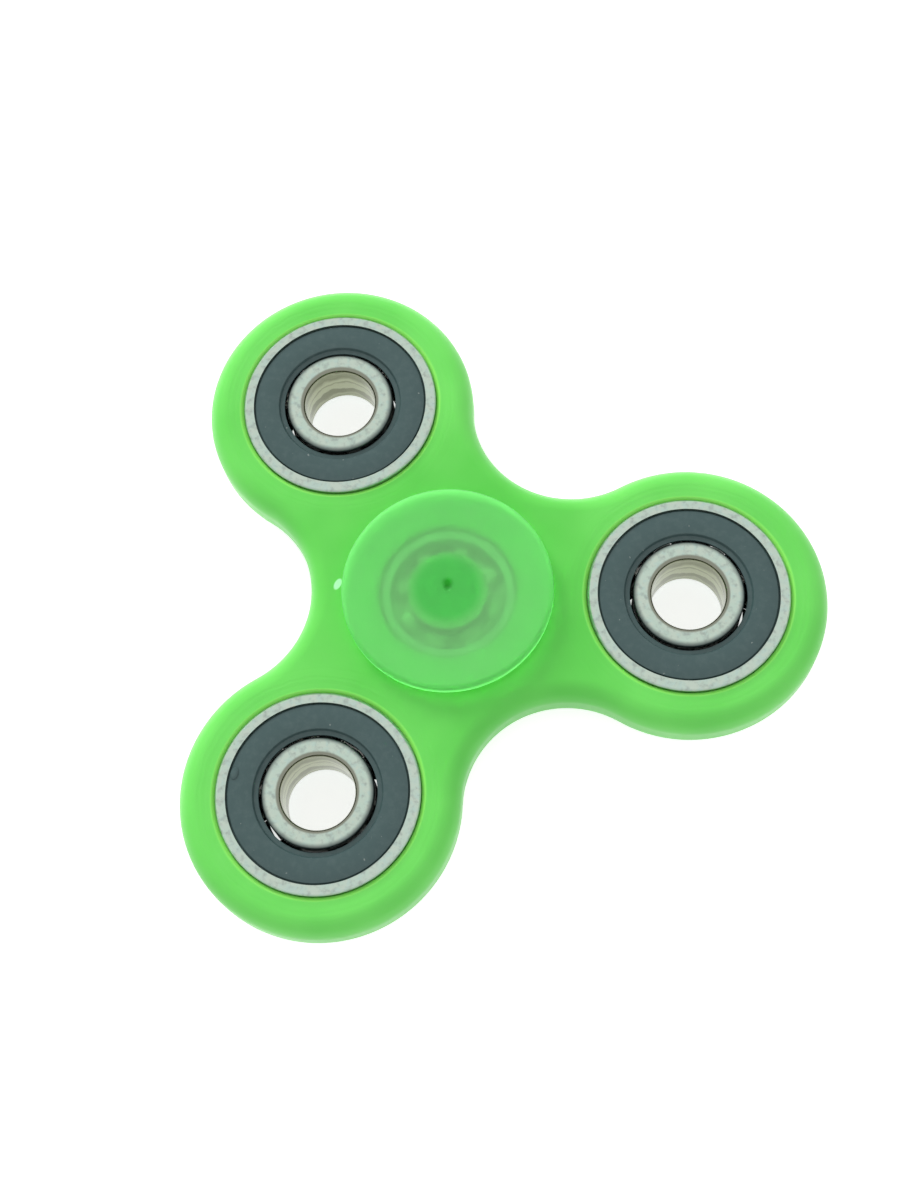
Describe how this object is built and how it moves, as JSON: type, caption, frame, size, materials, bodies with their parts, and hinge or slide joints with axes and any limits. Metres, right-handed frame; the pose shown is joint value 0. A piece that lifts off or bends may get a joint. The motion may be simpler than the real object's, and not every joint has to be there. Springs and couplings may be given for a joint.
{
  "type": "fidget spinner",
  "caption": "Three-lobe green plastic fidget spinner with three sealed ball bearings in its lobes, an open hub bearing and two frosted finger caps.",
  "frame": {"origin": "on the spin axis, half way through the body's thickness", "axes": "+Z along the spin axis through the top cap, +X towards lobe 1"},
  "size_m": [0.0697, 0.0758, 0.0098],
  "materials": {
    "green_plastic": "smooth moulded plastic, slightly translucent, soft gloss",
    "frosted_plastic": "translucent green plastic, finely frosted",
    "ground_steel": "finely ground, bright",
    "ball_steel": "polished",
    "cage_steel": "pressed sheet",
    "seal_rubber": "matt moulded rubber"
  },
  "bodies": {
    "finger_hub": {"top_cap": "frosted_plastic", "bottom_cap": "frosted_plastic", "hub_bearing_inner_ring": "ground_steel"},
    "rotor": {"spinner_body": "green_plastic", "hub_bearing_outer_ring": "ground_steel", "lobe_1_bearing_outer_ring": "ground_steel", "lobe_1_bearing_seal_top": "seal_rubber", "lobe_1_bearing_seal_bottom": "seal_rubber", "lobe_2_bearing_outer_ring": "ground_steel", "lobe_2_bearing_seal_top": "seal_rubber", "lobe_2_bearing_seal_bottom": "seal_rubber", "lobe_3_bearing_outer_ring": "ground_steel", "lobe_3_bearing_seal_top": "seal_rubber", "lobe_3_bearing_seal_bottom": "seal_rubber"},
    "hub_ball_cage": {"hub_bearing_balls": "ball_steel", "hub_bearing_cage_upper": "cage_steel", "hub_bearing_cage_lower": "cage_steel", "hub_bearing_rivets": "cage_steel"},
    "lobe_1_inner": {"lobe_1_bearing_inner_ring": "ground_steel"},
    "lobe_1_ball_cage": {"lobe_1_bearing_balls": "ball_steel", "lobe_1_bearing_cage_upper": "cage_steel", "lobe_1_bearing_cage_lower": "cage_steel", "lobe_1_bearing_rivets": "cage_steel"},
    "lobe_2_inner": {"lobe_2_bearing_inner_ring": "ground_steel"},
    "lobe_2_ball_cage": {"lobe_2_bearing_balls": "ball_steel", "lobe_2_bearing_cage_upper": "cage_steel", "lobe_2_bearing_cage_lower": "cage_steel", "lobe_2_bearing_rivets": "cage_steel"},
    "lobe_3_inner": {"lobe_3_bearing_inner_ring": "ground_steel"},
    "lobe_3_ball_cage": {"lobe_3_bearing_balls": "ball_steel", "lobe_3_bearing_cage_upper": "cage_steel", "lobe_3_bearing_cage_lower": "cage_steel", "lobe_3_bearing_rivets": "cage_steel"}
  },
  "joints": [
    {"name": "body_spin", "type": "hinge", "parent": "finger_hub", "child": "rotor", "pos_m": [0, 0, 0], "axis": [0, 0, 1], "continuous": true},
    {"name": "hub_cage_roll", "type": "hinge", "parent": "finger_hub", "child": "hub_ball_cage", "pos_m": [0, 0, 0], "axis": [0, 0, 1], "continuous": true},
    {"name": "lobe_1_inner_spin", "type": "hinge", "parent": "rotor", "child": "lobe_1_inner", "pos_m": [0.0262, 0, 0], "axis": [0, 0, 1], "continuous": true},
    {"name": "lobe_1_cage_roll", "type": "hinge", "parent": "rotor", "child": "lobe_1_ball_cage", "pos_m": [0.0262, 0, 0], "axis": [0, 0, 1], "continuous": true},
    {"name": "lobe_2_inner_spin", "type": "hinge", "parent": "rotor", "child": "lobe_2_inner", "pos_m": [-0.0131, 0.02269, 0], "axis": [0, 0, 1], "continuous": true},
    {"name": "lobe_2_cage_roll", "type": "hinge", "parent": "rotor", "child": "lobe_2_ball_cage", "pos_m": [-0.0131, 0.02269, 0], "axis": [0, 0, 1], "continuous": true},
    {"name": "lobe_3_inner_spin", "type": "hinge", "parent": "rotor", "child": "lobe_3_inner", "pos_m": [-0.0131, -0.02269, 0], "axis": [0, 0, 1], "continuous": true},
    {"name": "lobe_3_cage_roll", "type": "hinge", "parent": "rotor", "child": "lobe_3_ball_cage", "pos_m": [-0.0131, -0.02269, 0], "axis": [0, 0, 1], "continuous": true}
  ],
  "couplings": [
    {"joint": "hub_cage_roll", "follows": "body_spin", "ratio": 0.61905},
    {"joint": "lobe_1_cage_roll", "follows": "lobe_1_inner_spin", "ratio": 0.36767},
    {"joint": "lobe_2_cage_roll", "follows": "lobe_2_inner_spin", "ratio": 0.36767},
    {"joint": "lobe_3_cage_roll", "follows": "lobe_3_inner_spin", "ratio": 0.36767}
  ]
}
